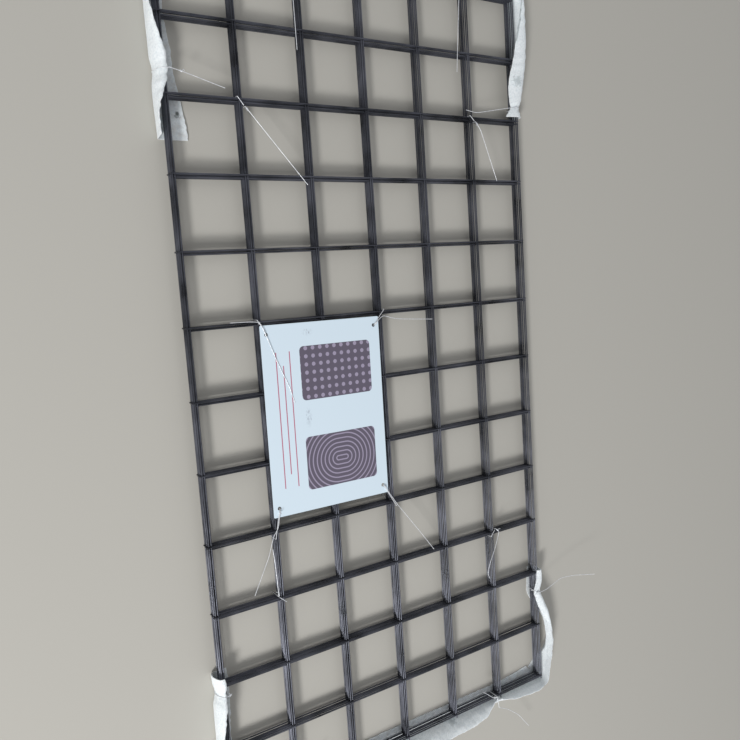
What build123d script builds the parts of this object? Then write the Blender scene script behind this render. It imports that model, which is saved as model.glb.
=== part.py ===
"""A bundle of ten flat sheets of welded wire mesh, lying on the floor.

Every second sheet is turned over, so that the wires of neighbours lie side by side and the
bundle takes eleven wire thicknesses instead of twenty. A soft foam strip goes round each end,
a board is wired on top, and short lengths of tie wire hold everything together.

Frame: millimetres, X across the sheets, Y along them, Z up. The origin is on the floor, under
the middle of the bundle.
"""

import os
from math import sin

from build123d import *

os.makedirs("parts", exist_ok=True)

# The mesh
wire = 3.05              # thickness of the drawn wire
pitch = 152.4            # from wire to wire, both ways
cells_across = 6         # squares across a sheet
cells_along = 12         # squares along a sheet
stub = 3.0               # how far a wire runs past the outermost wire that it crosses

# The stack
sheet_count = 10
side_gap = 2.0           # room between wires of two neighbouring sheets that lie side by side
slip_share = 0.35        # most that a sheet strays, as a share of that room

# The foam strips round the two ends
foam = 2.0               # thickness of the foam
strip_height = 50.0      # top edge of the standing side above the floor
strip_out = 18.0         # from the outermost wires to the inner face of the standing side
strip_in = 30.0          # how far the lying side reaches in under the mesh
strip_corner = 12.0      # inner radius where the strip turns a corner
far_left_leg = 385.0     # how far each strip reaches back along a side, from the outermost wire
far_right_leg = 295.0
near_left_leg = 328.0
near_right_leg = 300.0

# The board on top
board_width = 297.0
board_length = 420.0
board_thick = 1.2
board_x = -160.7         # middle of the board
board_y = -63.8
board_turn = -0.5        # degrees by which it lies askew
board_hole = 8.0
hole_from_side = 14.0    # from a long edge to the middle of a hole
hole_from_end = 20.0     # from a short edge to the middle of a hole

# The tie wire
tie = 1.4                # thickness of the tie wire
seat_gap = 0.3           # room between a tie and what it holds
notch = 8.0              # width of the dip in a strip's top edge where a tie goes over it

# What follows from them
half_width = cells_across * pitch / 2
half_length = cells_along * pitch / 2
long_wire = 2 * half_length + wire + 2 * stub
cross_wire = 2 * half_width + wire + 2 * stub
nest = wire + side_gap
slip = slip_share * side_gap
lift = max(foam, tie + 2 * seat_gap)
top = lift + (sheet_count + 1) * wire
over = top + seat_gap + tie / 2
clear = nest / 2 + slip + wire / 2 + seat_gap + tie / 2
strip_outer = strip_out + foam
beyond_strip = strip_outer + seat_gap + tie / 2
hole_across = board_width - 2 * hole_from_side
hole_along = board_length - 2 * hole_from_end


def level(number):
    """Height of the underside of a layer of wires, counted from 0 at the floor."""
    return lift + number * wire


def shift(number):
    """How far a sheet lies from the middle of the stack, across and along."""
    side = nest / 2 if number % 2 == 0 else -nest / 2
    return side + slip * sin(2.4 * number), slip * sin(1.3 * number + 1) - side


def crossing(i, j):
    """Where long wires number i and cross wires number j cross, counted from the near left."""
    return (i - cells_across / 2) * pitch, (j - cells_along / 2) * pitch


# The sheets: long wires and cross wires in two layers, welded where they cross
for number in range(sheet_count):
    turned_over = number % 2
    with BuildPart() as sheet:
        with BuildSketch(Plane.XY.offset(level(number + 1 - turned_over))):
            with Locations(shift(number)):
                with GridLocations(pitch, pitch, cells_across + 1, 1):
                    Rectangle(wire, long_wire)
        extrude(amount=wire)
        with BuildSketch(Plane.XY.offset(level(number + turned_over))):
            with Locations(shift(number)):
                with GridLocations(pitch, pitch, 1, cells_along + 1):
                    Rectangle(cross_wire, wire)
        extrude(amount=wire)
    sheet.part.label = f"sheet_{number + 1:02d}"
    export_step(sheet.part, f"parts/{sheet.part.label}.step")


# The board, with a hole near each corner for its ties
with BuildPart() as board:
    with BuildSketch(Plane.XY.offset(top)):
        with Locations(Location((board_x, board_y, 0), (0, 0, board_turn))):
            Rectangle(board_width, board_length)
            with GridLocations(hole_across, hole_along, 2, 2):
                Circle(board_hole / 2, mode=Mode.SUBTRACT)
    extrude(amount=board_thick)
board.part.label = "label_board"
export_step(board.part, "parts/label_board.step")


# The ties. A route is a list of points (x, y, z), where x and y are counted from a crossing
# and z from the height at which a tie lies on the top wires. A loop goes over the top, down
# one leg, back under the stack and up the other leg. Its two ends would meet there, so the
# first starts a little short of the other leg, and the second rises over it.
def loop(down, up, rise=0.0, head=None):
    """Points of a loop between two legs, after a short start or after the points of head."""
    back = Vector(*down) - Vector(*up)
    start = Vector(*up) + back.normalized() * 2.2 * tie
    begin = head or [(start.X, start.Y, rise)]
    below = lift / 2 - over
    return begin + [(*down, rise), (*down, below), (*up, below), (*up, rise + 1.6 * tie)]


def hole_from(i, j, side, end):
    """Middle of one of the board's holes, counted from a crossing."""
    place = Vector(side * hole_across / 2, end * hole_along / 2).rotate(Axis.Z, board_turn)
    x, y = crossing(i, j)
    return board_x + place.X - x, board_y + place.Y - y


def strip_legs(across, along, offset):
    """A leg inside the outermost wires and one beyond the foam strip, on one side of the stack."""
    inside = clear + 1
    if across:
        return (-across * inside, offset), (across * beyond_strip, offset)
    return (offset, -along * inside), (offset, along * beyond_strip)


# Each tie at a side: its crossing, the way out of the stack, how far along that side it is,
# the points before its loop and the points after it
side_ties = {
    "strip_tie_far_left": ((0, 10), (-1, 0), 47, None, [(40.2, 41.4, 4.0), (120.2, 19.4, 1.0)]),
    "strip_tie_far_right": (
        (6, 10), (1, 0), 33,
        None,
        [(-29.2, 32.4, 4.0), (-140.2, 13.4, 2.0), (-172.2, 18.4, 1.0)],
    ),
    "strip_tie_near_left": ((0, 2), (-1, 0), -19, None, [(14.0, -16.0, 4.0)]),
    "strip_tie_near_right": (
        (6, 2), (1, 0), -50,
        [(166.0, -30.0, 56.0), (110.0, -26.0, 30.0), (74.0, -28.0, 16.0), (21.0, -47.2, 0.0)],
        [(-9.2, -47.4, 3.0), (-27.2, -40.4, 2.0)],
    ),
    "strip_tie_far_end_left": (
        (2, 12), (0, 1), -22,
        None,
        [(-16.6, -93.4, 2.0), (-15.6, -193.4, 0.6)],
    ),
    "strip_tie_far_end_right": (
        (5, 12), (0, 1), -24,
        None,
        [(-26.8, -30.4, 3.0), (-41.8, -198.4, 0.6)],
    ),
    "strip_tie_near_end_left": ((1, 0), (0, -1), 22, None, [(50.0, 48.0, 1.5)]),
    "strip_tie_near_end_right": (
        (5, 0), (0, -1), -19,
        [(100.0, -131.0, -6.0), (60.0, -80.0, -2.0), (22.0, -48.0, 0.0), (-16.4, -24.6, 0.0)],
        [(-33.8, 8.4, 3.5), (-49.8, 23.4, 3.0), (-63.8, 34.4, 1.5)],
    ),
}

# The other ties, each as its crossing and its whole route
tie_routes = {
    "tie_far_left": (
        (1, 10),
        loop((-clear - 1.5, clear + 0.5), (clear + 1.5, -clear - 8)) + [(137.8, -168.6, 0.6)],
    ),
    "tie_far_right": (
        (5, 10),
        loop((-clear - 1, clear + 0.5), (clear + 2, -clear - 2.5))
        + [(22.2, -27.6, 3.0), (70.2, -150.6, 0.6)],
    ),
    "tie_near_right": (
        (5, 3),
        loop((-clear - 2, -clear - 1), (clear + 2, clear + 6))
        + [(18.2, 3.2, 3.2), (2.2, -34.8, 4.0), (-17.8, -70.8, 4.5)]
        + [(-28.8, -100.8, 3.0), (-20.8, -116.8, 2.0)],
    ),
    "tie_near_left": (
        (1, 3),
        loop((clear + 1, -clear - 3), (-clear - 6, clear + 3))
        + [(-14.2, 87.2, 2.0), (-16.2, 118.0, 1.0)],
    ),
    "board_tie_far_left": (
        (1, 7),
        loop(
            hole_from(1, 7, -1, 1), (-clear - 2, clear + 2), board_thick,
            [(-67.2, 6.6, 1.0), (-29.2, 5.6, 1.0), (-2.2, 3.6, 1.0)],
        )
        + [(2.8, -9.4, 4.2), (30.8, -85.4, 2.0), (55.8, -145.4, 1.6), (64.8, -179.4, 1.3)],
    ),
    "board_tie_far_right": (
        (3, 7),
        loop((clear + 1.5, clear + 1.5), hole_from(3, 7, 1, 1), board_thick)
        + [(1.0, -6.4, 3.6), (28.0, -15.4, 2.5), (51.0, -19.4, 1.5), (145.0, -27.4, 0.5)],
    ),
    "board_tie_near_right": (
        (3, 4),
        loop((clear + 1, -clear - 4), hole_from(3, 4, 1, -1), board_thick)
        + [(5.0, -2.2, 3.8), (73.0, -93.2, 1.0), (109.0, -144.2, 0.5)],
    ),
    "board_tie_near_left": (
        (1, 4),
        loop((-clear - 1, -clear - 8), hole_from(1, 4, -1, -1), board_thick)
        + [(-0.2, 9.8, 3.8), (-13.2, -5.2, 3.6), (-26.2, -46.2, 2.0), (-66.2, -125.2, 0.5)],
    ),
}
for name, (place, out, offset, head, tail) in side_ties.items():
    inner_leg, outer_leg = strip_legs(*out, offset)
    if head:
        tie_routes[name] = (place, loop(inner_leg, outer_leg, 0.0, head) + tail)
    else:
        tie_routes[name] = (place, loop(outer_leg, inner_leg) + tail)

for name, (place, points) in tie_routes.items():
    x0, y0 = crossing(*place)
    with BuildPart() as tie_part:
        with BuildLine() as route:
            Polyline(*[(x0 + x, y0 + y, over + z) for x, y, z in points])
        with BuildSketch(Plane(origin=route.line @ 0, z_dir=route.line % 0)):
            Rectangle(tie, tie)
        sweep(transition=Transition.RIGHT)
    length = sum(edge.length for edge in route.edges())
    print(f"{name}: volume {tie_part.part.volume:.0f}, length times section {length * tie * tie:.0f}")
    tie_part.part.label = name
    export_step(tie_part.part, f"parts/{name}.step")


# The foam strips: one side lies under the outermost wires, the other stands outside them, and
# each strip goes round three sides of its end of the stack. At each of its ties it has a slot
# below and a dip in its top edge.
slot = tie + 2 * seat_gap
strip_width = 2 * (half_width + strip_outer)
strip_length = 2 * (half_length + strip_outer)
lying_side = (0, foam, -strip_in)
standing_side = (foam, strip_height - foam, strip_out)
slot_below = (-clear - 1 - slot, slot, 0, foam)
notch_above = (strip_out, notch, top, strip_height - top)
for end_name, end, left_leg, right_leg in (
    ("far", 1, far_left_leg, far_right_leg), ("near", -1, near_left_leg, near_right_leg)
):
    with BuildPart() as strip:
        for base, height, inner_edge in (lying_side, standing_side):
            with BuildSketch(Plane.XY.offset(base)):
                RectangleRounded(strip_width, strip_length, strip_corner + foam)
                RectangleRounded(
                    2 * (half_width + inner_edge), 2 * (half_length + inner_edge), strip_corner,
                    mode=Mode.SUBTRACT,
                )
                for side, leg in ((-1, left_leg), (1, right_leg)):
                    cut = 2 * half_length + strip_outer - leg
                    with Locations((side * strip_width / 2, end * (half_length - leg - cut / 2))):
                        Rectangle(strip_width, cut, mode=Mode.SUBTRACT)
            extrude(amount=height)
        for place, (across, along), offset, head, tail in side_ties.values():
            x, y = crossing(*place)
            if y * end < 0:
                continue
            for inner, width, base, height in (slot_below, notch_above):
                middle = (inner + strip_outer) / 2
                reach = strip_outer - inner
                if across:
                    with Locations((x + across * middle, y + offset, base + height / 2)):
                        Box(reach, width, height, mode=Mode.SUBTRACT)
                else:
                    with Locations((x + offset, y + along * middle, base + height / 2)):
                        Box(width, reach, height, mode=Mode.SUBTRACT)
    strip.part.label = f"foam_strip_{end_name}"
    export_step(strip.part, f"parts/{strip.part.label}.step")
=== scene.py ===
# %% [markdown]
# # A bundle of welded wire mesh
# Ten flat sheets of steel mesh lie nested on the floor, six squares wide and twelve long. Foam
# strips guard the two ends, a printed board is wired on top, and thin ties hold it together. The
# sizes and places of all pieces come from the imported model.

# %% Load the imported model
from functools import partial
from math import atan2, cos, pi, radians, sin

import bpy
import numpy as np
from mathutils import Matrix, Vector
from mathutils.geometry import delaunay_2d_cdt


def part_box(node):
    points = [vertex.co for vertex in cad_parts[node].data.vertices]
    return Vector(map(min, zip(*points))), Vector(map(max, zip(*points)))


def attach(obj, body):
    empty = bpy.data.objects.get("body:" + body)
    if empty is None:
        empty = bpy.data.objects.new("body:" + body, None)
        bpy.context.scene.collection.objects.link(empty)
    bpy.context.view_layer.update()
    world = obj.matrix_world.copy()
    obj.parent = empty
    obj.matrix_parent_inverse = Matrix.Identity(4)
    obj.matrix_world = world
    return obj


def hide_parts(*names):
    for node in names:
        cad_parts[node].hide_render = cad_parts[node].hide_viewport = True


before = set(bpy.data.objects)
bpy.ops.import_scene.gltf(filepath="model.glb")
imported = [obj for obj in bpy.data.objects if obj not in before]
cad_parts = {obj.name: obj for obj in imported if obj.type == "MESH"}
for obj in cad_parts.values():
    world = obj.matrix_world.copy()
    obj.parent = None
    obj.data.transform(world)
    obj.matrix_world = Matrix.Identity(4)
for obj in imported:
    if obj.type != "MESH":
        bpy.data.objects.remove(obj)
scene = bpy.context.scene
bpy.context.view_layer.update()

# %% [markdown]
# The photograph was taken from the left of the bundle, looking down on it. A camera was fitted to
# the crossings of the mesh, whose pitch is known, so its place is known to a few centimetres.
# Heights count from the middle of the top wires, which were the ones fitted, and the focal length
# is for a 36 mm wide sensor.

# %% The camera of the photograph
MM = 0.001
low_z, high_z = (corner[2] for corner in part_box("sheet_10"))
top_wires_z = high_z - (high_z - low_z) / 4
lens_at = np.array([-0.9015, 0.2138, top_wires_z + 1.4123])
looks = np.array([0.51714, -0.11549, -0.84807])
upwards = np.array([0.11870, 0.99096, -0.06257])
focal_mm = 34.83

# Right is the cross product of the view and up directions; the camera looks along its -Z
data = bpy.data.cameras.new("photo_camera")
data.lens, data.sensor_width = focal_mm, 36.0
data.clip_start, data.clip_end = 0.05, 50.0
camera = bpy.data.objects.new("photo_camera", data)
columns = np.column_stack([np.cross(looks, upwards), upwards, -looks, lens_at])
camera.matrix_world = Matrix(np.vstack([columns, [0, 0, 0, 1]]).tolist())
scene.collection.objects.link(camera)
scene.camera = camera
print("camera at", lens_at, "focal length", focal_mm)

# %% [markdown]
# Every mesh here is worked out as arrays and put into Blender in one go. A surface is a grid of
# points, so its faces are found from the grid's rows and columns. These helpers number the faces
# of many grids at once, close round ones with fans, join parts and make the object.

# %% From arrays to a piece
def unit(vectors):
    """The same directions, one long."""
    return vectors / np.linalg.norm(vectors, axis=-1, keepdims=True)


def circle(angle):
    """cos a and sin a side by side."""
    return np.stack([np.cos(angle), np.sin(angle)], axis=-1)


def points_at(x, y, z):
    """Points from their coordinates, each of them an array or one number for all."""
    return np.stack(np.broadcast_arrays(x, y, z), axis=-1)


def grid_faces(copies, rows, columns, wrap=False):
    """Corners of the faces of `copies` grids of rows x columns points, wrapped round if asked."""
    index = np.arange(copies * rows * columns).reshape(copies, rows, columns)
    if wrap:
        index = np.concatenate([index, index[:, :, :1]], axis=2)
    a, b = index[:, :-1, :-1], index[:, :-1, 1:]
    c, d = index[:, 1:, 1:], index[:, 1:, :-1]
    return np.stack([a, b, c, d], axis=-1).reshape(-1, 4)


def grid_uv(copies, u, v):
    """The u and v of each face corner: a value of u for each row of points and one of v for each
    column, with one more where the grid is wrapped."""
    corner = np.stack(np.meshgrid(u, v, indexing="ij"), axis=-1).reshape(-1, 2)
    return np.tile(corner[grid_faces(1, len(u), len(v)).ravel()], (copies, 1))


def closing_fans(copies, rows, columns):
    """Triangles from the first and the last ring of each grid to their two middle points, which
    are numbered after the points of all the grids."""
    first = np.arange(copies)[:, None] * rows * columns + np.arange(columns)
    last = first + (rows - 1) * columns
    middle = copies * rows * columns + 2 * np.arange(copies)[:, None] + np.zeros(columns, int)
    start = np.stack([middle, np.roll(first, -1, axis=1), first], axis=-1)
    end = np.stack([middle + 1, last, np.roll(last, -1, axis=1)], axis=-1)
    return np.concatenate([start.reshape(-1, 3), end.reshape(-1, 3)])


def join(parts):
    """Points, quads, triangles and uv of several parts as one, with the faces' numbers moved on."""
    offsets = np.cumsum([0] + [len(part[0]) for part in parts])
    moved = [(part[0], part[1] + n, part[2] + n, part[3]) for part, n in zip(parts, offsets)]
    return [np.concatenate(arrays) for arrays in zip(*moved)]


def make_piece(name, points, quads, triangles=(), uv=None, sharp=50):
    """A mesh object from points and faces, smooth but for edges sharper than `sharp` degrees."""
    corners = np.concatenate([np.ravel(quads), np.ravel(triangles)]).astype(np.int32)
    sizes = np.repeat([4, 3], [len(quads), len(triangles)])
    starts = np.cumsum(sizes) - sizes
    mesh = bpy.data.meshes.new(name)
    mesh.vertices.add(len(points))
    mesh.vertices.foreach_set("co", np.ascontiguousarray(points, np.float32).ravel())
    mesh.loops.add(len(corners))
    mesh.loops.foreach_set("vertex_index", corners)
    mesh.polygons.add(len(sizes))
    mesh.polygons.foreach_set("loop_start", starts.astype(np.int32))
    if uv is not None:
        layer = mesh.uv_layers.new(name="along_and_round")
        uv = np.pad(uv, ((0, len(corners) - len(uv)), (0, 0)))
        layer.data.foreach_set("uv", uv.astype(np.float32).ravel())
    mesh.update(calc_edges=True)
    mesh.validate()
    mesh.shade_smooth()
    mesh.set_sharp_from_angle(angle=radians(sharp))
    piece = bpy.data.objects.new(name, mesh)
    scene.collection.objects.link(piece)
    return piece


def take_place(piece, node):
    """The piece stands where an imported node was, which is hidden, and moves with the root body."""
    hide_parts(node)
    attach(piece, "root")
    return piece


# %% [markdown]
# A wire is a circle carried along a line. Where the line is nearly straight one pair of
# directions serves the whole wire, so all wires of a sheet are one array of wires x steps x sides.
# Drawn wire is never quite straight, so each line sways by a fraction of a millimetre, in three
# slow waves at random.

# %% Round bars, many at a time
wire_sides, wire_wobble = 12, 0.28 * MM


def closed_tubes(lines, across, up, radius, sides, u):
    """Tubes round lines given as copies x steps points: line + radius (cos a across + sin a up).
    Returns points, quads, the fans that close the ends, and the uv of the quads."""
    copies, steps = lines.shape[:2]
    angle = np.arange(sides)[:, None] * 2 * pi / sides
    ring = np.cos(angle) * across[..., None, :] + np.sin(angle) * up[..., None, :]
    skin = lines[:, :, None] + radius * ring
    points = np.concatenate([skin.reshape(-1, 3), lines[:, [0, -1]].reshape(-1, 3)])
    uv = grid_uv(copies, u, np.arange(sides + 1) * 2 * pi * radius / sides)
    quads = grid_faces(copies, steps, sides, wrap=True)
    return points, quads, closing_fans(copies, steps, sides), uv


def sway(draw, wires, along, size):
    """Sum of three sines of lengths from 1.3 m down to 0.35 m, for each wire, of height `size`."""
    lengths, shares = np.array([[1.3, 0.7, 0.35], [0.6, 0.3, 0.15]])[..., None]
    waves = np.sin(2 * pi * along / lengths + draw.uniform(0, 2 * pi, (wires, 3, 1)))
    return size * (shares * waves).sum(axis=1)


def round_bars(starts, direction, length, radius, steps, draw):
    """Bars from each start along one direction. They sway more sideways than up and down."""
    along = np.linspace(0, length, steps)
    across, up = np.cross([0, 0, 1], direction), np.array([0, 0, 1])
    lines = starts[:, None] + along[:, None] * direction
    for way, size in ((across, wire_wobble), (up, 0.4 * wire_wobble)):
        lines = lines + sway(draw, len(starts), along, size)[..., None] * way
    return closed_tubes(lines, across, up, radius, wire_sides, along - length / 2)


# %% [markdown]
# Mesh is welded by pressing two wires together with a current through them, so at each crossing a
# low collar of metal is squeezed out. It is drawn as a flattened ball of a few dozen faces between
# the two wires, and all the balls of a sheet are one array.

# %% Weld beads
def beads(centres, half_width, half_height, rows=5, columns=8):
    """Flattened balls: centre + (half_width sin t cos a, half_width sin t sin a, half_height cos t)."""
    tilt = np.linspace(0, pi, rows + 1)[1:-1, None]
    turn = np.arange(columns) * 2 * pi / columns
    level = half_width * np.sin(tilt)
    shape = points_at(level * np.cos(turn), level * np.sin(turn), half_height * np.cos(tilt))
    skin = centres[:, None, None] + shape
    poles = centres[:, None] + half_height * np.array([[0, 0, 1], [0, 0, -1]])
    points = np.concatenate([skin.reshape(-1, 3), poles.reshape(-1, 3)])
    quads = grid_faces(len(centres), rows - 1, columns, wrap=True)[:, ::-1]
    fans = closing_fans(len(centres), rows - 1, columns)[:, ::-1]
    return points, quads, fans, np.zeros((4 * len(quads), 2))


# %% [markdown]
# A sheet is seven long wires and thirteen cross wires in two layers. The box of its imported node
# says where it lies and how thick a wire is, and every second sheet is turned over, which puts
# its long wires below its cross wires. The neighbours' wires then lie side by side.

# %% The ten sheets
pitch_mm = 152.4
pitch = pitch_mm * MM
sheet_names = sorted(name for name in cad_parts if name.startswith("sheet_"))
long_steps, cross_steps = 140, 72
bead_width, bead_height = 0.62, 0.32


def make_sheet(number, node):
    """One sheet from its node's box: bars both ways, and a bead at each crossing."""
    low, high = (np.array(corner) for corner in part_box(node))
    centre, size = (low + high) / 2, high - low
    wire = size[2] / 2
    layers = high[2] - wire / 2, low[2] + wire / 2
    cross_z, long_z = layers if number % 2 else layers[::-1]
    draw = np.random.default_rng(40 + number)
    across, along = centre[0] + np.arange(-3, 4) * pitch, centre[1] + np.arange(-6, 7) * pitch
    long_starts, cross_starts = points_at(across, low[1], long_z), points_at(low[0], along, cross_z)
    spots = points_at(across[:, None], along, centre[2]).reshape(-1, 3)
    parts = [
        round_bars(long_starts, np.array([0, 1, 0]), size[1], wire / 2, long_steps, draw),
        round_bars(cross_starts, np.array([1, 0, 0]), size[0], wire / 2, cross_steps, draw),
        beads(spots, bead_width * wire, bead_height * wire),
    ]
    return take_place(make_piece(f"mesh_{node}", *join(parts)), node)


sheets = [make_sheet(number, node) for number, node in enumerate(sheet_names)]
print("sheets", len(sheets), "faces each", len(sheets[0].data.polygons))

# %% [markdown]
# A foam strip is a long flat band, folded along its length: one side lies under the outermost
# wires, and the other stands up outside them. A cloth simulation could drape it, but the ties
# hold its folds and the photograph shows them. So it is lofted: its cross-section is a smooth
# curve of seven handles, and a table says where they are at some places along the strip. First
# comes the line that it follows, three sides of a rectangle.

# %% The line round one end of the bundle
half_width, half_length, turn_radius = 3 * pitch, 6 * pitch, 12 * MM
foam_thick, strip_step = 2 * MM, 3 * MM


def strip_line(left_leg, right_leg):
    """Along the left side, round a corner, across the end, round a corner and back.
    Returns the distance along it, the middle of the rounding and the outward direction:
    a place at distance d outside the line is middle + (turn_radius + d) x outward."""
    arc = turn_radius * pi / 2
    inner_x, inner_y = half_width - turn_radius, half_length - turn_radius
    knots = np.cumsum([0, left_leg - turn_radius, arc, 2 * inner_x, arc, right_leg - turn_radius])
    along = np.linspace(0, knots[-1], int(knots[-1] / strip_step))
    middle_x = np.interp(along, knots, [-inner_x, -inner_x, -inner_x, inner_x, inner_x, inner_x])
    start_y, end_y = half_length - left_leg, half_length - right_leg
    middle_y = np.interp(along, knots, [start_y, inner_y, inner_y, inner_y, inner_y, end_y])
    angle = np.interp(along, knots, [pi, pi, pi / 2, pi / 2, 0, 0])
    return along, knots, np.stack([middle_x, middle_y], axis=-1), circle(angle)


# %% [markdown]
# The tables are in millimetres. A row starts with the place on its side, counted from the middle
# of the bundle. Then come how far the strip reaches in under the mesh, its foot, the swell of its
# wall, the top of the wall and the free edge: how far each is outside the mesh, and for the last
# three how high. Ties pull the wall in and down. Near the right end of the near strip the lower
# side is turned out and lifted off the floor, by the heights in a short table.

# %% Where the strips lie
smoothing = 24 * MM
far_strip_rows = {"left": [
    (529.4, 46, 15, 20, 26, 24, 51, 22, 51), (570, 42, 16, 20, 26, 23, 51, 23, 51),
    (595, 39, 17, 20, 26, 17, 52, 15, 50), (630, 34, 17, 19, 26, 8, 52, 2, 44),
    (651, 29, 12, 16, 24, 4, 46, -4, 41), (662, 28, 12, 16, 24, 4, 46, -4, 41),
    (682, 27, 17, 19, 27, 3, 53, -2, 45), (706, 26, 17, 19, 27, 8, 54, 3, 48),
    (731, 23, 17, 20, 27, 14, 53, 12, 51), (775, 19, 17, 20, 26, 22, 52, 22, 51),
    (850, 22, 16, 20, 26, 22, 51, 21, 51), (900, 16, 14, 18, 26, 17, 51, 17, 50),
], "end": [
    (-435, 14, 13, 17, 26, 18, 51, 22, 50), (-360, 20, 12, 19, 24, 33, 47, 40, 49),
    (-260, 24, 12, 19, 24, 36, 46, 43, 49), (-190, 20, 9, 14, 24, 14, 45, 10, 42),
    (-160, 20, 9, 14, 24, 14, 45, 10, 42), (-60, 26, 12, 19, 24, 38, 46, 45, 48),
    (60, 28, 12, 20, 24, 40, 45, 46, 47), (190, 22, 12, 19, 24, 30, 47, 36, 49),
    (266, 12, 9, 14, 24, 12, 45, 8, 42), (296, 8, 9, 14, 24, 12, 45, 8, 42),
    (380, -2, 12, 18, 25, 26, 48, 30, 49), (435, -5, 12, 18, 26, 24, 51, 24, 51),
], "right": [
    (900, -5, 13, 23, 28, 33, 53, 15, 50), (861, -5, 13, 24, 28, 36, 56, 9, 49),
    (812, -5, 13, 24, 28, 35, 59, -4, 47), (763, -5, 12, 22, 28, 30, 60, -13, 43),
    (720, -5, 12, 20, 28, 20, 60, -27, 40), (687, -4, 11, 19, 27, 13, 59, -31, 39),
    (655, -3, 9, 17, 25, 2, 53, -28, 38.4), (643, -3, 8, 13, 23, -3, 47, -24, 38.2),
    (634, -3, 8, 13, 24, 0, 50, -32, 38.6), (619.4, -3, 10, 16, 25, 3, 53, -43, 39),
]}
near_strip_rows = {"left": [
    (586.4, 20, 15, 20, 26, 8, 50, 0, 45), (608, 21, 14, 17, 25, 3, 49, -3, 42),
    (623, 20, 10, 14, 24, 3, 45, -2, 40), (633, 20, 10, 14, 24, 3, 45, -2, 40),
    (652, 21, 16, 20, 26, 8, 52, 2, 47), (690, 19, 17, 21, 26, 15, 53, 10, 50),
    (740, 15, 17, 22, 26, 21, 52, 20, 51), (840, 18, 16, 21, 26, 22, 51, 23, 51),
    (900, 14, 14, 18, 26, 18, 51, 18, 50),
], "end": [
    (-430, 14, 12, 18, 25, 22, 50, 25, 50), (-350, 15, 11, 17, 24, 22, 48, 26, 49),
    (-296, 16, 9, 13, 24, 10, 45, 5, 41), (-270, 16, 9, 13, 24, 10, 45, 5, 41),
    (-215, 18, 12, 20, 23, 36, 45, 42, 48), (-110, 20, 12, 22, 22, 42, 43, 48, 47),
    (0, 20, 12, 22, 22, 42, 43, 48, 47), (124, 18, 12, 22, 22, 40, 43, 46, 47),
    (200, 18, 12, 21, 23, 37, 44, 43, 47), (247, 17, 11, 18, 24, 28, 46, 33, 48),
    (277, 16, 8, 12, 23, 8, 44, 5, 41), (295, 16, 8, 12, 23, 8, 44, 5, 41),
    (341, 16, 10, 16, 24, 17, 48, 18, 49), (397, 22, 11, 18, 25, 22, 49, 25, 50),
    (438, 28, 12, 19, 26, 23, 51, 26, 51),
], "right": [
    (905, 28, 12, 18, 26, 15, 52, 12, 50), (882, 6, 17, 23, 26, 22, 53, 18, 50),
    (860, -26, 21, 27, 30, 27, 53, 26, 51), (839, -48, 26, 29, 38, 31, 53, 31, 51),
    (804, -58, 29, 32, 40, 36, 54, 34, 51), (776, -54, 27, 31, 40, 34, 54, 30, 51),
    (756, -46, 23, 29, 40, 31, 55, 21, 49), (736, -26, 22, 28, 41, 22, 58, 9, 45),
    (712, -10, 20, 26, 41, 12, 60, -1, 42), (692, 2, 14, 20, 39, 4, 59, -11, 41),
    (672, 10, 8, 11, 36, -3, 56, -16, 40), (660, 10, 7, 7, 34, -6, 52, -20, 40),
    (650, 10, 7, 8, 34, -4, 52, -19, 40), (632, 8, 9, 13, 34, 4, 54, -11, 40),
    (614, 6, 10, 15, 33, 8, 54, -7, 40), (598, 4, 10, 14, 31, 8, 52, -6, 40),
]}
near_strip_lift = {"right": [
    (895, 0), (878, 2), (860, 12), (839, 24), (804, 28), (776, 28), (756, 26), (712, 15), (692, 6), (675, 0),
]}


def smooth(columns, width, **padding):
    """Each column averaged over a bell-shaped window `width` places wide, an odd number."""
    bell = np.hanning(width)
    padded = [np.pad(column, width // 2, **padding) for column in columns]
    return np.stack([np.convolve(column, bell / bell.sum(), "valid") for column in padded], axis=-1)


def handles(table, along, knots):
    """Each column of the table as a smooth function of the distance along the strip: straight
    between the rows, then averaged."""
    inner_x, inner_y = half_width - turn_radius, half_length - turn_radius
    starts = {"left": (knots[0], 1, inner_y - knots[1]), "end": (knots[2], 1, -inner_x)}
    starts["right"] = (knots[4], -1, inner_y)
    places, values = [], []
    for side, rows in table.items():
        start, way, first = starts[side]
        rows = np.array(rows) * MM
        places.append(start + way * (rows[:, 0] - first))
        values.append(rows[:, 1:])
    values = np.concatenate(values)
    straight = [np.interp(along, np.concatenate(places), column) for column in values.T]
    return smooth(straight, int(smoothing / (along[1] - along[0])) | 1, mode="edge")


# %% [markdown]
# The seven handles make a cubic B-spline, which stays inside them and has no kinks. Its weights
# depend only on the place across the strip, so the whole surface is a single product of one
# matrix of weights and the handles.

# %% The loft
def spline_weights(count, samples):
    """Weights of a clamped cubic B-spline with `count` handles at even places across it."""
    knots = np.concatenate([[0] * 3, np.arange(count - 2), [count - 3] * 3]).astype(float)
    place = np.linspace(0, count - 3 - 1e-9, samples)[:, None]
    weights = ((knots[:-1] <= place) & (place < knots[1:])).astype(float)
    for degree in (1, 2, 3):
        rise, fall = knots[degree:-1] - knots[: -degree - 1], knots[degree + 1 :] - knots[1:-degree]
        up = (place - knots[: -degree - 1]) / np.where(rise > 0, rise, 1) * (rise > 0)
        down = (knots[degree + 1 :] - place) / np.where(fall > 0, fall, 1) * (fall > 0)
        weights = up * weights[:, :-1] + down * weights[:, 1:]
    return weights


strip_samples = 40
arc_margin, fold_reach, edge_rough = 1.5 * MM, 2.5 * MM, 0.9 * MM
curl_height, curl_length, curl_reach = 1.2 * MM, 110 * MM, 20 * MM


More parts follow.
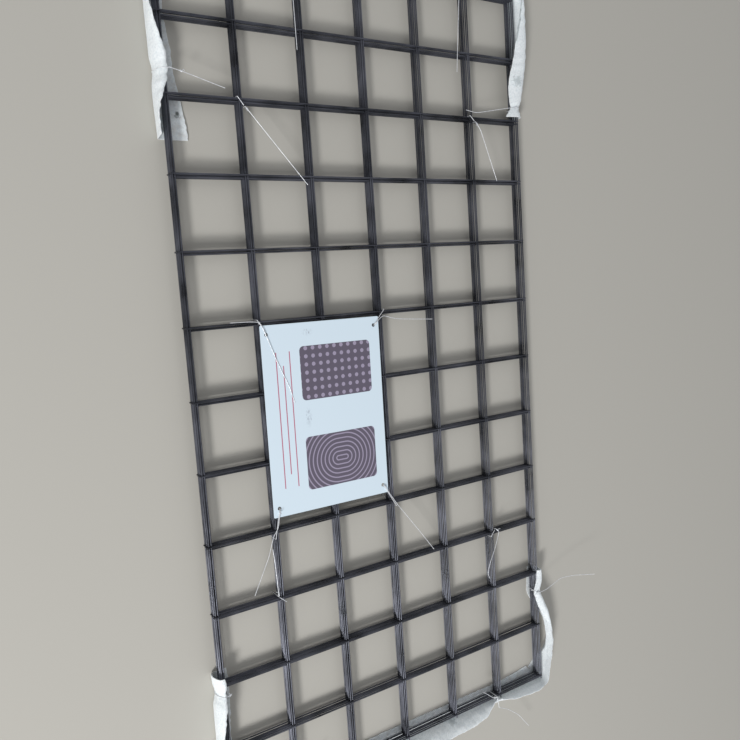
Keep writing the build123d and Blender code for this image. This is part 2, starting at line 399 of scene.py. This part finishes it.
def strip_surface(table, lifts, left_leg, right_leg, end, draw):
    """The middle surface of a strip, stations x places across x 3, and the distance along it. The
    lying side stops short of the middle of each rounding, curls up a little, and has a rough edge."""
    along, knots, middle, outward = strip_line(left_leg, right_leg)
    inner, foot, swell, swell_z, top, top_z, edge, edge_z = handles(table, along, knots).T
    lift = handles(lifts, along, knots)[:, 0] if lifts else 0 * along
    from_arcs = [np.maximum(knots[k] - along, along - knots[k + 1]) for k in (1, 3)]
    inner = np.minimum(inner, turn_radius - arc_margin + np.clip(np.min(from_arcs, axis=0), 0, None))
    rough = draw.normal(0, 1, (2, len(along)))
    rough = [edge_rough * np.convolve(row, [0.25, 0.5, 0.25], "same") for row in rough]
    inner, edge = inner + rough[0], edge + rough[1]
    foot_z, low_z = foam_thick / 2 + lift, foam_thick / 2 + 0.4 * lift
    curl = curl_height * (1 + np.sin(2 * pi * along / curl_length)) * (inner > curl_reach)
    width = foot + inner
    fold = foot + fold_reach * (width > 0)
    offsets = [-inner, 0.25 * width - inner, foot - 0.2 * width, fold, swell, top, edge]
    heights = [low_z + curl, low_z, foot_z, foot_z, swell_z, top_z, edge_z]
    weights = spline_weights(7, strip_samples).T
    d, z = np.stack(offsets, axis=-1) @ weights, np.stack(heights, axis=-1) @ weights
    plan = middle[:, None] + (turn_radius + d)[..., None] * outward[:, None]
    return np.concatenate([plan, z[..., None]], axis=-1) * [1, end, 1], along


# %% [markdown]
# The wall of the strip ripples: the foam is crumpled from handling, and gathers in short folds
# where a tie pulls it together. The ripples move each point along the surface's own normal. Then
# the surface gets its thickness: a copy 2 mm away, and a band round the rim that joins the two.

# %% Ripples and thickness
def normals_of(surface):
    """Cross product of the differences along the two directions of the grid, made unit long."""
    return unit(np.cross(np.gradient(surface, axis=0), np.gradient(surface, axis=1)))


def rippled(surface, along, pinches, draw):
    """Adds three kinds of waves, which grow with the height above the floor: long ones of 1.2 mm
    along the strip, crumples of 0.5 mm in twelve directions at random, and folds of 0.9 mm that
    run across the strip, 11 mm apart, and fade with the distance from each pinch."""
    height = np.clip((surface[..., 2] - 3 * MM) / (30 * MM), 0, 1)
    across = np.linspace(0, 110 * MM, surface.shape[1])
    waves = zip((0.19, 0.083, 0.047), (0.5, 0.3, 0.2), draw.uniform(0, 2 * pi, 3))
    slow = sum(share * np.sin(2 * pi * along / length + phase) for length, share, phase in waves)
    lengths, headings = draw.uniform(12 * MM, 34 * MM, 12), draw.uniform(0, pi, 12)
    place = np.cos(headings) * along[:, None, None] + np.sin(headings) * across[:, None]
    crumple = np.sin(2 * pi * place / lengths + draw.uniform(0, 2 * pi, 12)).mean(axis=-1)
    near = sum(np.exp(-(((along - pinch) / (26 * MM)) ** 2)) for pinch in pinches)
    folds = np.abs(np.sin(pi * along / (11 * MM))) - 0.6
    push = (1.2 * slow + 0.9 * near * folds)[:, None] + 1.8 * crumple
    return surface + (push * MM * height)[..., None] * normals_of(surface)


def thicken(surface, thickness):
    """A closed shell: the surface moved half the thickness each way, joined round its rim."""
    normal = normals_of(surface)
    rows, columns = surface.shape[:2]
    points = np.stack([surface + normal * thickness / 2, surface - normal * thickness / 2]).reshape(-1, 3)
    front = grid_faces(1, rows, columns)[:, ::-1]
    back = front[:, ::-1] + rows * columns
    index = np.arange(rows * columns).reshape(rows, columns)
    rim = np.concatenate([index[0, :-1], index[:-1, -1], index[-1, :0:-1], index[:0:-1, 0]])
    after = np.roll(rim, -1)
    band = np.stack([rim, after, after + rows * columns, rim + rows * columns], axis=-1)
    return points, np.concatenate([front, back, band])


def make_strip(name, node, table, lifts, left_leg, right_leg, end, pinches, seed):
    """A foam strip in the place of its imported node."""
    draw = np.random.default_rng(seed)
    surface, along = strip_surface(table, lifts, left_leg, right_leg, end, draw)
    surface = rippled(surface, along, pinches, draw)
    points, quads = thicken(surface, foam_thick)
    points[:, 2] = np.maximum(points[:, 2], 0)
    piece = take_place(make_piece(name, points, quads, sharp=70), node)
    return piece, surface, end


far_strip = make_strip(
    "foam_wrap_far", "foam_strip_far", far_strip_rows, [], 0.385, 0.295, 1, (0.127, 0.663, 1.118, 1.561), 5
)
near_strip = make_strip(
    "foam_wrap_near", "foam_strip_near", near_strip_rows, near_strip_lift, 0.328, 0.3164, -1,
    (0.042, 0.497, 1.066, 1.487), 8,
)

# %% [markdown]
# A tie is one length of soft wire. It goes over the top wires, down through the stack, back under
# it and up again, and its short end is wound a few times round the long one. Its route is a list
# of points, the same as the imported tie's. Across and along they are counted from a crossing of
# the mesh, and up from the height at which a tie lies on the top wires.

# %% The routes of the ties, in millimetres
tie_wire, on_top, under_stack = 1.4, 36.55, 1.0
inside_wires, beyond_strip = 6.75, 21.0
board_mm, board_size, board_turn = 1.2, np.array([0.297, 0.420]), radians(-0.5)
board_axes = np.array([[cos(board_turn), sin(board_turn)], [-sin(board_turn), cos(board_turn)]])
board_middle, hole_inset = np.array([-160.7, -63.8]), np.array([0.014, 0.020])


def crossing(i, j):
    """Where long wire i and cross wire j cross, counted from the near left."""
    return np.array([i - 3, j - 6]) * pitch_mm


def route(legs, head, tail, rise=0.0):
    """A start of 2.2 wires, over the top, down one leg, back under the stack, up the other to 1.6
    wires above the start, and the points of tail. Where the start is the points of head, the tie
    goes down its second leg."""
    down, up = np.array(legs[::-1] if head else legs)
    start = head or [(*(up + 2.2 * tie_wire * unit(down - up)), rise)]
    below = under_stack - on_top
    return start + [(*down, rise), (*down, below), (*up, below), (*up, rise + 1.6 * tie_wire)] + tail


# Ties of the mesh alone: crossing, first leg, second leg and tail
mesh_ties = {
    "tie_far_left": ((1, 10), (-7.25, 6.25), (7.25, -13.75), [(137.8, -168.6, 0.6)]),
    "tie_far_right": ((5, 10), (-6.75, 6.25), (7.75, -8.25), [(22.2, -27.6, 3), (70.2, -150.6, 0.6)]),
    "tie_near_right": (
        (5, 3), (-7.75, -6.75), (7.75, 11.75),
        [(18.2, 3.2, 3.2), (2.2, -34.8, 4), (-17.8, -70.8, 4.5), (-28.8, -100.8, 3), (-20.8, -116.8, 2)],
    ),
    "tie_near_left": ((1, 3), (6.75, -8.75), (-11.75, 8.75), [(-14.2, 87.2, 2), (-16.2, 118, 1)]),
}

# Ties of the board: crossing, which hole, the leg outside the board, head and tail
board_ties = {
    "board_tie_far_left": (
        (1, 7), (-1, 1), (-7.75, 7.75), [(-67.2, 6.6, 1), (-29.2, 5.6, 1), (-2.2, 3.6, 1)],
        [(2.8, -9.4, 4.2), (30.8, -85.4, 2), (55.8, -145.4, 1.6), (64.8, -179.4, 1.3)],
    ),
    "board_tie_far_right": (
        (3, 7), (1, 1), (7.25, 7.25), None,
        [(1, -6.4, 3.6), (28, -15.4, 2.5), (51, -19.4, 1.5), (145, -27.4, 0.5)],
    ),
    "board_tie_near_right": (
        (3, 4), (1, -1), (6.75, -9.75), None, [(5, -2.2, 3.8), (73, -93.2, 1), (109, -144.2, 0.5)],
    ),
    "board_tie_near_left": (
        (1, 4), (-1, -1), (-6.75, -13.75), None,
        [(-0.2, 9.8, 3.8), (-13.2, -5.2, 3.6), (-26.2, -46.2, 2), (-66.2, -125.2, 0.5)],
    ),
}

# Ties of the strips: crossing, the way out of the stack, the place along that side, head and tail
side_ties = {
    "strip_tie_far_left": ((0, 10), (-1, 0), 47, None, [(40.2, 41.4, 4), (120.2, 19.4, 1)]),
    "strip_tie_far_right": (
        (6, 10), (1, 0), 33, None, [(-29.2, 32.4, 4), (-140.2, 13.4, 2), (-172.2, 18.4, 1)],
    ),
    "strip_tie_near_left": ((0, 2), (-1, 0), -19, None, [(14, -16, 4)]),
    "strip_tie_near_right": (
        (6, 2), (1, 0), -50,
        [(166, -30, 56), (110, -26, 30), (74, -28, 16), (21, -47.2, 0)],
        [(-9.2, -47.4, 3), (-27.2, -40.4, 2)],
    ),
    "strip_tie_far_end_left": ((2, 12), (0, 1), -22, None, [(-16.6, -93.4, 2), (-15.6, -193.4, 0.6)]),
    "strip_tie_far_end_right": ((5, 12), (0, 1), -24, None, [(-26.8, -30.4, 3), (-41.8, -198.4, 0.6)]),
    "strip_tie_near_end_left": ((1, 0), (0, -1), 22, None, [(50, 48, 1.5)]),
    "strip_tie_near_end_right": (
        (5, 0), (0, -1), -19,
        [(100, -131, -6), (60, -80, -2), (22, -48, 0), (-16.4, -24.6, 0)],
        [(-33.8, 8.4, 3.5), (-49.8, 23.4, 3), (-63.8, 34.4, 1.5)],
    ),
}
tie_routes = {}
for name, (place, *legs, tail) in mesh_ties.items():
    tie_routes[name] = (place, route(legs, None, tail))
for name, (place, corner, leg, head, tail) in board_ties.items():
    hole = board_middle + (board_size / 2 - hole_inset) / MM * corner @ board_axes - crossing(*place)
    tie_routes[name] = (place, route([leg, hole], head, tail, board_mm))
for name, (place, out, offset, head, tail) in side_ties.items():
    legs = [offset * np.abs(out[::-1]) + reach * np.array(out) for reach in (beyond_strip, -inside_wires)]
    tie_routes[name] = (place, route(legs, head, tail))
print("ties", len(tie_routes), "the first begins at", tie_routes["tie_far_left"][1][0])

# %% [markdown]
# A tie that holds a strip squeezes the foam, so its points outside the mesh are taken from the
# strip's own cross-section there, moved out by half the foam and half the wire. Real wire has no
# sharp corners, so every route is cut into steps of a millimetre, and each point becomes the
# average of its neighbours: a few at the tight loop, and more along the free end.

# %% Routes that follow the foam, and their rounding
tie_radius = tie_wire / 2 * MM
foam_gap, lowest, lowest_over_wires = 0.1 * MM, 0.8, 38.8
edge_room, flap_room, loop_room = 0.6, 1, 2.2
loop_window, free_window, blend_from, blend_over = 7, 33, 6, 18


def below_stack(points):
    """Numbers of the two points of a route that lie under the stack, at the feet of its legs."""
    return np.flatnonzero(points[:, 2] < 2)


def round_strip(points, strip):
    """A route whose outer leg is replaced by the strip's cross-section, and its loop's ends: the
    numbers of the tops of the two legs."""
    surface, end = strip[1:]
    under = below_stack(points)
    outer_first = np.abs(points[under[0], :2]).sum() > np.abs(points[under[1], :2]).sum()
    outer, inner = points[under if outer_first else under[::-1]]
    outwards = unit(outer - inner)
    station = np.linalg.norm(surface[:, :, :2].mean(axis=1) / MM - outer[:2], axis=1).argmin()
    clear_of_foam = foam_thick / 2 + tie_radius + foam_gap
    section = (surface - end * normals_of(surface) * clear_of_foam)[station] / MM
    section[:, 2] = np.maximum(section[:, 2], lowest)
    out = (section - inner) @ outwards
    flap = np.arange(len(section)) >= section[:, 2].argmax()
    tail = points[under[1] + 2 :].copy()
    flap_z = section[flap, 2] + flap_room
    over_flap = np.interp((inner - tail) @ outwards, -out[flap], flap_z, left=0, right=0)
    tail[:, 2] = np.maximum(tail[:, 2], over_flap)
    section = section[out > 1]
    inner_top = np.array([*inner[:2], max(lowest_over_wires, section[-1, 2] + edge_room)])
    over_it = inner_top + [0, 0, loop_room]
    if outer_first:
        parts = [[inner_top], section[::-1], [inner, over_it], tail]
        return np.concatenate(parts), (0, len(section) + 2)
    head = points[: under[0] - 1].copy()
    head[-1, 2] = inner_top[2] + flap_room
    parts = [head, [inner_top, inner], section, [over_it], tail]
    return np.concatenate(parts), (len(head) - 1, len(head) + 2 + len(section))


def smooth_route(points, tops):
    """The route in steps of 1 mm, averaged over a short window at the loop, a long one elsewhere."""
    reach = np.concatenate([[0], np.cumsum(np.linalg.norm(np.diff(points, axis=0), axis=1))])
    along = np.linspace(0, reach[-1], int(reach[-1]))
    line = [np.interp(along, reach, column) for column in points.T]
    away = np.maximum(reach[tops[0]] - along, along - reach[tops[1]])
    free = np.clip((away - blend_from) / blend_over, 0, 1)[:, None]
    short, long = (
        smooth(line, window, mode="reflect", reflect_type="odd") for window in (loop_window, free_window)
    )
    return ((1 - free) * short + free * long) * MM, reach[tops[1]]


# %% [markdown]
# To carry a circle along such a route, each point needs two directions across it. They come from
# the cross product with one fixed direction, which must never be along the wire. Sixty are tried
# at once, and the one that keeps furthest from the wire is taken. The twist begins 3 mm past the
# loop, and on two ties later.

# %% The sixteen ties
tries, twist_steps = 60, 20
twist_turns, twist_pitch, twist_reach, spur = 3.6, 1.6 * MM, 2.02 * tie_radius, 6 * MM
twist_start, twist_places = 3, {"strip_tie_far_left": 22, "strip_tie_near_left": 6}


def across_route(line):
    """Two unit directions across each point of a line, from the best of sixty fixed directions."""
    tangent = unit(np.gradient(line, axis=0))
    index = np.arange(tries) + 0.5
    height, turn = 1 - index / tries, index * pi * (1 + 5**0.5)
    level = np.sqrt(1 - height**2)
    fixed = points_at(level * np.cos(turn), level * np.sin(turn), height)
    apart = np.linalg.norm(np.cross(tangent[None], fixed[:, None]), axis=-1).min(axis=1)
    side = unit(np.cross(tangent, fixed[apart.argmax()]))
    return side, np.cross(tangent, side)


def tube(line, radius, sides):
    """One closed tube along a line of points."""
    return closed_tubes(line[None], *across_route(line), radius, sides, np.arange(len(line)) * MM)


def wound_end(line, start):
    """A helix round the route from a station on, line + reach (cos a side + sin a up). In its last
    quarter turn it leaves the route by the length of the spur."""
    count = int(twist_turns * twist_steps)
    step, stations = np.arange(count), np.arange(len(line))
    place = start + step * twist_turns * twist_pitch / count / MM
    middle, side, up = (
        np.stack([np.interp(place, stations, column) for column in points.T], axis=-1)
        for points in (line, *across_route(line))
    )
    a = (step * 2 * pi * twist_turns / count)[:, None]
    leaving = np.clip((step - count + 6) / 5, 0, 1)
    reach = (twist_reach + spur * leaving)[:, None]
    return middle + reach * (np.cos(a) * side + np.sin(a) * up)


def make_tie(node, place, points):
    """One tie: its long wire, and the short end wound round it just past the loop."""
    points = np.array(points) + [*crossing(*place), on_top]
    tops = below_stack(points) + [-1, 1]
    if node.startswith("strip_tie"):
        points, tops = round_strip(points, far_strip if "_far_" in node else near_strip)
    line, loop_end = smooth_route(points, tops)
    coil = wound_end(line, min(loop_end + twist_places.get(node, twist_start), len(line) - 9))
    parts = join([tube(line, tie_radius, 10), tube(coil, 0.95 * tie_radius, 8)])
    return take_place(make_piece(f"wire_{node}", *parts), node)


ties = [make_tie(node, *tie_routes[node]) for node in tie_routes]
print("ties", len(ties), "faces in the first", len(ties[0].data.polygons))

# %% [markdown]
# The board is a stiff plastic sheet with a hole near each corner. Quite flat and sharp it would
# look like paper, so its edges and holes are broken by a third of a millimetre, and it bows a
# little between its ties. Its points are its outline, the same a little inside, two rings at each
# hole and a grid. A Delaunay triangulation joins them, without the triangles that lie in a hole.

# %% The printed board
board_thick, edge_break, bow_height = board_mm * MM, 0.3 * MM, 0.8 * MM
board_corner, hole_radius, hole_sides = 3 * MM, 4 * MM, 32
outline_step, grid_step = 0.004, 0.0075
corner_signs = np.array([[1, 1], [-1, 1], [-1, -1], [1, -1]])


def rounded_outline(size, corner):
    """Points round a rectangle with rounded corners, at even distances along each part of it."""
    turns = np.linspace(0, pi / 2, 6) + np.arange(4)[:, None] * pi / 2
    corners = (size / 2 - corner) * corner_signs[:, None] + corner * circle(turns)
    outline = []
    for arc, following in zip(corners, np.roll(corners, -1, axis=0)):
        run = following[0] - arc[-1]
        count = int(np.linalg.norm(run) / outline_step)
        outline += [arc[:-1], arc[-1] + run * (np.arange(count) / count)[:, None]]
    return np.concatenate(outline)


# Two copies of the triangulated face, and the walls of the rim and of the holes between them
outer = rounded_outline(board_size, board_corner)
inner = rounded_outline(board_size - 2 * edge_break, board_corner - edge_break)
middles = (board_size / 2 - hole_inset) * corner_signs
ring = circle(np.arange(hole_sides) * 2 * pi / hole_sides)
radii = hole_radius, hole_radius + edge_break
rims, insides = ((middles[:, None] + radius * ring).reshape(-1, 2) for radius in radii)
lines = [np.linspace(-1, 1, int(size / grid_step) + 1)[1:-1] * size / 2 for size in board_size]
grid = np.stack(np.meshgrid(*lines, indexing="ij"), axis=-1).reshape(-1, 2)
to_hole = np.linalg.norm(grid[:, None] - middles, axis=-1).min(axis=1)
plane = np.concatenate([outer, rims, inner, insides, grid[to_hole > hole_radius + 3 * MM]])
faces = np.array(delaunay_2d_cdt([Vector(point) for point in plane.tolist()], [], [], 0, 1e-7)[2])
to_hole = np.linalg.norm(plane[faces].mean(axis=1)[:, None] - middles, axis=-1).min(axis=1)
faces = faces[to_hole > hole_radius * 0.99]
bow = bow_height * np.cos(pi * plane[:, 0] / board_size[0]) * np.cos(pi * plane[:, 1] / board_size[1])
lift = board_thick / 2 - edge_break * (np.arange(len(plane)) < len(outer) + len(rims))
low, high = (np.array(corner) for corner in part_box("label_board"))
flat = plane @ board_axes + ((low + high) / 2)[:2]
middle_z = low[2] + board_thick / 2 + bow
points = np.concatenate([np.column_stack([flat, z]) for z in (middle_z + lift, middle_z - lift)])
holes = [len(outer) + hole_sides * k + np.arange(hole_sides)[::-1] for k in range(4)]
walls = [
    np.stack([edge, edge + len(plane), np.roll(edge, -1) + len(plane), np.roll(edge, -1)], axis=-1)
    for edge in (np.arange(len(outer)), *holes)
]
walls, triangles = np.concatenate(walls), np.concatenate([faces, faces[:, ::-1] + len(plane)])
uv = np.tile(plane, (2, 1))[np.concatenate([walls.ravel(), triangles.ravel()])]
piece = make_piece("printed_board", points, walls, triangles, uv, sharp=30)
printed_board = take_place(piece, "label_board")
print("board faces", len(printed_board.data.polygons))

# %% [markdown]
# Colours are sRGB hex values, as on a paint chart, and one function turns them to the linear
# values that Blender's sockets hold. A second one adds a node, and fills each input with a value
# or a link. An input goes by its name, or by its number where names repeat: a sum has 0 and 1, a
# mix its share at 0 and its colours at 6 and 7, and a range its value at 0, its limits at 1 and 2
# and what they become at 3 and 4, which is 0 and 1 unless given.

# %% Colours and nodes
def linear(hex_code):
    """Linear red, green, blue and 1 from an sRGB hex value such as "8c8a93"."""
    value = np.array([int(hex_code[i : i + 2], 16) for i in (0, 2, 4)]) / 255
    low, high = value / 12.92, ((value + 0.055) / 1.055) ** 2.4
    return (*np.where(value <= 0.04045, low, high), 1.0)


def add_node(tree, kind, inputs=None, **properties):
    """Adds a node with these properties. An input takes a constant, a socket, or another node,
    which stands for its first output in use."""
    node = tree.nodes.new("ShaderNode" + kind)
    for name, value in properties.items():
        setattr(node, name, value)
    for name, value in (inputs or {}).items():
        if isinstance(value, bpy.types.Node):
            value = next(socket for socket in value.outputs if socket.enabled)
        if isinstance(value, bpy.types.NodeSocket):
            tree.links.new(value, node.inputs[name])
        else:
            node.inputs[name].default_value = value
    return node


def new_material(name):
    """An empty material, and the function above bound to it."""
    material = bpy.data.materials.new(name)
    material.use_nodes = True
    material.node_tree.nodes.clear()
    return material, partial(add_node, material.node_tree)


def dress(pieces, material, add, surface):
    """Ends a material with its Principled shader, and puts it on all faces of the pieces."""
    add("OutputMaterial", {"Surface": add("BsdfPrincipled", surface)})
    for piece in pieces:
        piece.data.materials.clear()
        piece.data.materials.append(material)
    print("material", material.name, "nodes", len(material.node_tree.nodes), "pieces", len(pieces))


def clouds(add, place, size, *limits):
    """Cloudy noise of about 0.3 to 0.7, whose clouds are `size` across, put through a range."""
    noise = add("TexNoise", {"Vector": place, "Scale": 1 / size, "Detail": 3})
    return add("MapRange", {0: noise, **dict(enumerate(limits, 1))})


def streaks(add, place, across, along):
    """Noise whose clouds have one size in the first of two coordinates, and one in the second."""
    stretched = add("Mapping", {"Vector": place, "Scale": (1 / across, 1 / along, 1)})
    return add("TexNoise", {"Vector": stretched, "Scale": 1, "Detail": 3})


def chain(add, kind, value, *steps):
    """Sums of one kind, each made of the result before it and of what its step names."""
    for operation, *others in steps:
        value = add(kind, {0: value, **dict(enumerate(others, 1))}, operation=operation)
    return value


def layered(add, colour, layers):
    """Colours laid over one another, each as thickly as its share says."""
    for share, paint in layers:
        colour = add("Mix", {0: share, 6: colour, 7: paint}, data_type="RGBA")
    return colour


# %% [markdown]
# ## Cold drawn steel wire
# The wire is low-carbon steel, pulled cold through a die and left black: a thin dry film of
# drawing soap and oxide over bright metal. The eye sees near-black with a grey-violet sheen,
# fine scores along the wire and duller patches. The paler spot of bare metal at each weld is
# not drawn.

# %% Drawn steel
wire_dark, wire_pale = linear("202226"), linear("6d6f79")

# Scores 1.1 mm wide and 125 mm long run along the wire. Drawing leaves finer ones, which would
# not show from where the camera stands. Duller patches are 70 mm wide.
material, add = new_material("black_drawn_steel")
place = add("TexCoord").outputs
scores = streaks(add, place["UV"], 125 * MM, 1.1 * MM)
patches = add("TexNoise", {"Vector": place["Object"], "Scale": 1 / (70 * MM), "Detail": 4})
both = chain(add, "Math", scores, ("MULTIPLY", patches))
spread = add("MapRange", {0: both, 1: 0.12, 2: 0.42})
surface = {
    "Base Color": layered(add, wire_dark, [(spread, wire_pale)]),
    "Metallic": 0.75,
    "Roughness": add("MapRange", {0: patches, 1: 0.3, 2: 0.7, 3: 0.26, 4: 0.42}),
    "Normal": add("Bump", {"Height": scores, "Strength": 0.15, "Distance": 0.1 * MM}),
}
dress(sheets, material, add, surface)

# %% [markdown]
# ## Galvanised tie wire
# Soft iron wire, dipped in zinc: a pale silver with a slight blue, smoother than the mesh. Zinc
# that has been out of doors has a chalky white bloom, which hides most of the metal, so it is
# only a little metallic.

# %% Galvanised wire
zinc_bright, zinc_dull = linear("f1f2f4"), linear("cccfd3")

# Bright zinc that turns duller and rougher in clouds of 5.5 mm
material, add = new_material("galvanised_tie_wire")
bloom = clouds(add, add("TexCoord").outputs["Object"], 5.5 * MM, 0.35, 0.65)
surface = {
    "Base Color": layered(add, zinc_bright, [(bloom, zinc_dull)]),
    "Metallic": 0.3,
    "Roughness": add("MapRange", {0: bloom, 3: 0.3, 4: 0.5}),
}
dress(ties, material, add, surface)

# %% [markdown]
# ## Polyethylene foam sheet
# The strips are white closed-cell foam, the kind that wraps glass: matt with a faint sheen, and a
# fine grain from its small cells. It has taken up dust from the ground. A few grey smears fade
# with the distance from their middles. Along the upper edge at the far right, a thin dark line
# from point to point is painted shade, for the shadow in the crease under the folded lip. The
# foam is thinner than the distance that light goes in it, so light from behind makes it glow.

# %% Foam
# The last colour serves both the grey smears and the painted shade of the crease
foam_white, foam_dull, foam_dust, foam_smear_and_crease_shade = map(linear, ("ebf3f6", "d9e3e8", "bdb8ae", "6f7472"))
foam_smears = [
    ((-0.429, 0.581, 0.002), 0.008, 1),
    ((0.452, 0.708, 0.052), 0.018, 0.45),
    ((0.146, -0.936, 0.02), 0.014, 0.4),
]
# Painted shade: a thin dark line along the upper edge of the far right strip, for the shadow in its crease
crease_shade_line = [(0.4745, 0.916, 0), (0.4695, 0.884, 0), (0.4665, 0.860, 0), (0.4525, 0.809, 0)]


def line_distance(add, place, start, stop):
    """Distance from the line between two points, seen from above."""
    run = Vector(stop) - Vector(start)
    moved = chain(add, "VectorMath", place, ("MULTIPLY", (1, 1, 0)), ("SUBTRACT", start))
    share = chain(add, "VectorMath", moved, ("DOT_PRODUCT", run))
    share = add("MapRange", {0: share, 2: run.length_squared})
    nearest = add("VectorMath", {0: run, "Scale": share}, operation="SCALE")
    return chain(add, "VectorMath", moved, ("DISTANCE", nearest))


# White in patches of 4 mm, with dust in clouds of 17 mm up to a centimetre above the floor, then
# the smears, whose edge is made uneven by noise, the painted shade line of the crease, and cells
# 1.1 mm wide
material, add = new_material("white_foam_sheet")
place = add("TexCoord").outputs["Object"]
height = add("SeparateXYZ", {0: place}).outputs["Z"]
low = add("MapRange", {0: height, 1: 1 * MM, 2: 12 * MM, 3: 1, 4: 0})
dust = chain(add, "Math", low, ("MULTIPLY", clouds(add, place, 17 * MM, 0.45, 0.75, 0, 0.6)))
layers = [(clouds(add, place, 4 * MM, 0.4, 0.7), foam_dull), (dust, foam_dust)]
for middle, reach, strength in foam_smears:
    away = chain(add, "VectorMath", place, ("DISTANCE", middle))
    uneven = chain(add, "Math", away, ("MULTIPLY", clouds(add, place, 6 * MM, 0.3, 0.7, 0.6, 1.6)))
    layers.append((add("MapRange", {0: uneven, 1: reach, 2: 0.4 * reach, 4: strength}), foam_smear_and_crease_shade))
upper = add("MapRange", {0: height, 1: 30 * MM, 2: 40 * MM})
# The painted shade of the crease: dark within a few millimetres of the line, and only above 30 mm
for start, stop in zip(crease_shade_line, crease_shade_line[1:]):
    away = line_distance(add, place, start, stop)
    near = add("MapRange", {0: away, 1: 1.2 * MM, 2: 3.6 * MM, 3: 0.55, 4: 0})
    layers.append((chain(add, "Math", near, ("MULTIPLY", upper)), foam_smear_and_crease_shade))
cells = add("TexNoise", {"Vector": place, "Scale": 1 / (1.1 * MM), "Detail": 2})
surface = {
    "Base Color": layered(add, foam_white, layers),
    "Roughness": 0.7,
    "Specular IOR Level": 0.35,
    "Subsurface Weight": 0.85,
    "Subsurface Scale": 6 * MM,
    "Subsurface Radius": (1, 1, 1),
    "Normal": add("Bump", {"Height": cells, "Strength": 0.35, "Distance": 0.4 * MM}),
}
dress([far_strip[0], near_strip[0]], material, add, surface)

# %% [markdown]
# ## Printed plastic board
# The board is white polystyrene, printed in two colours with a plain design: two dull violet
# panels, one with dots and one with rings, and three red rules. A panel is a rounded rectangle,
# found from the distance to it. A few grey scuffs lie over the print.

# %% Board
board_white, panel_dark, panel_pale, rule_red = map(linear, ("d3e2ec", "5e5766", "9c93a8", "b86c80"))
panel_half, panel_corner = (0.090, 0.060), 0.010
panel_dots, panel_rings = (0.030, 0.098), (0.030, -0.104)
dot_spacing, dot_radius, ring_width = 0.018, 0.0045, 0.010
rules, rule_half = [(-0.084, 0.150), (-0.100, 0.120), (-0.116, 0.150)], 0.0012
scuffs = [((-0.048, 0.001, 0), (1, 0.35, 1)), ((-0.037, 0.188, 0), (0.6, 1, 1))]
soft_edge = {1: 0.1 * MM, 2: -0.1 * MM}


def box_distance(add, place, centre, half, corner):
    """Length of max(|place - centre| - half + corner, 0), less the corner's radius."""
    shrunk = (half[0] - corner, half[1] - corner, 0)
    folded = chain(add, "VectorMath", place, ("SUBTRACT", (*centre, 0)), ("ABSOLUTE",))
    steps = ("SUBTRACT", shrunk), ("MAXIMUM", (0, 0, 0)), ("LENGTH",)
    return chain(add, "Math", chain(add, "VectorMath", folded, *steps), ("SUBTRACT", corner))


# Each printed shape lies over the white board, and the scuffs over them. The dots repeat with the
# remainder of the place, and the rings with the distance from a small box, folded up and down.
material, add = new_material("printed_plastic_board")
place = add("TexCoord").outputs["UV"]
on_dots, on_rings = (
    add("MapRange", {0: box_distance(add, place, centre, panel_half, panel_corner), **soft_edge})
    for centre in (panel_dots, panel_rings)
)
cell = chain(add, "VectorMath", place, ("MODULO", (dot_spacing, dot_spacing, 1)), ("ABSOLUTE",))
dot = box_distance(add, cell, [dot_spacing / 2] * 2, [dot_radius] * 2, dot_radius)
dots = chain(add, "Math", add("MapRange", {0: dot, **soft_edge}), ("MULTIPLY", on_dots))
inner = box_distance(add, place, panel_rings, (2 * ring_width, ring_width), ring_width)
steps = ("PINGPONG", ring_width), ("SUBTRACT", ring_width / 2), ("ABSOLUTE",)
ring = add("MapRange", {0: chain(add, "Math", inner, *steps), 1: 1.6 * MM, 2: 1.2 * MM})
pale = chain(add, "Math", ring, ("MULTIPLY", on_rings), ("MAXIMUM", dots))
layers = [(on_dots, panel_dark), (on_rings, panel_dark), (pale, panel_pale)]
for across, half in rules:
    rule = box_distance(add, place, (across, 0), (rule_half, half), rule_half)
    layers.append((add("MapRange", {0: rule, **soft_edge}), rule_red))
scratches = add("MapRange", {0: streaks(add, place, 1.1 * MM, 8.3 * MM), 1: 0.52, 2: 0.62})
for middle, stretch in scuffs:
    away = chain(add, "VectorMath", place, ("SUBTRACT", middle), ("MULTIPLY", stretch), ("LENGTH",))
    near = add("MapRange", {0: away, 1: 9 * MM, 2: 2 * MM, 4: 0.75})
    layers.append((chain(add, "Math", near, ("MULTIPLY", scratches)), panel_dark))
surface = {"Base Color": layered(add, board_white, layers), "Roughness": 0.42}
dress([printed_board], material, add, surface)

# %% [markdown]
# The floor is a plain pale ground. The light is a soft sky with one large lamp on the left, as
# low as the light in the photograph, so that the wires throw their shadows the same way.

# %% Floor and light
floor_half, floor_colour, sky_colour, sky_strength = 20.0, linear("b3b0a8"), linear("f4f6fa"), 0.56
lamp_at, lamp_size, lamp_power = (-4.4, -3.3, 3.8), 1.2, 350

# A flat square at z = 0, which is where the foam strips rest
corners = np.array([[-1, -1, 0], [1, -1, 0], [1, 1, 0], [-1, 1, 0]]) * floor_half
floor = make_piece("floor", corners, np.array([[0, 1, 2, 3]]))
dress([floor], *new_material("pale_floor"), {"Base Color": floor_colour, "Roughness": 0.9})

# An even light from all sides
scene.world = bpy.data.worlds.new("studio")
scene.world.use_nodes = True
background = scene.world.node_tree.nodes["Background"]
background.inputs["Color"].default_value = sky_colour
background.inputs["Strength"].default_value = sky_strength

# A square lamp that faces the middle of the bundle
data = bpy.data.lights.new("key_lamp", "AREA")
data.shape, data.size, data.energy = "SQUARE", lamp_size, lamp_power
lamp = bpy.data.objects.new("key_lamp", data)
x, y, z = lamp.location = lamp_at
lamp.rotation_euler = (atan2(np.hypot(x, y), z), 0, atan2(-y, -x) - pi / 2)
scene.collection.objects.link(lamp)
scene.view_settings.view_transform = "Standard"
print("lamp at", lamp_at, "sky of strength", sky_strength)
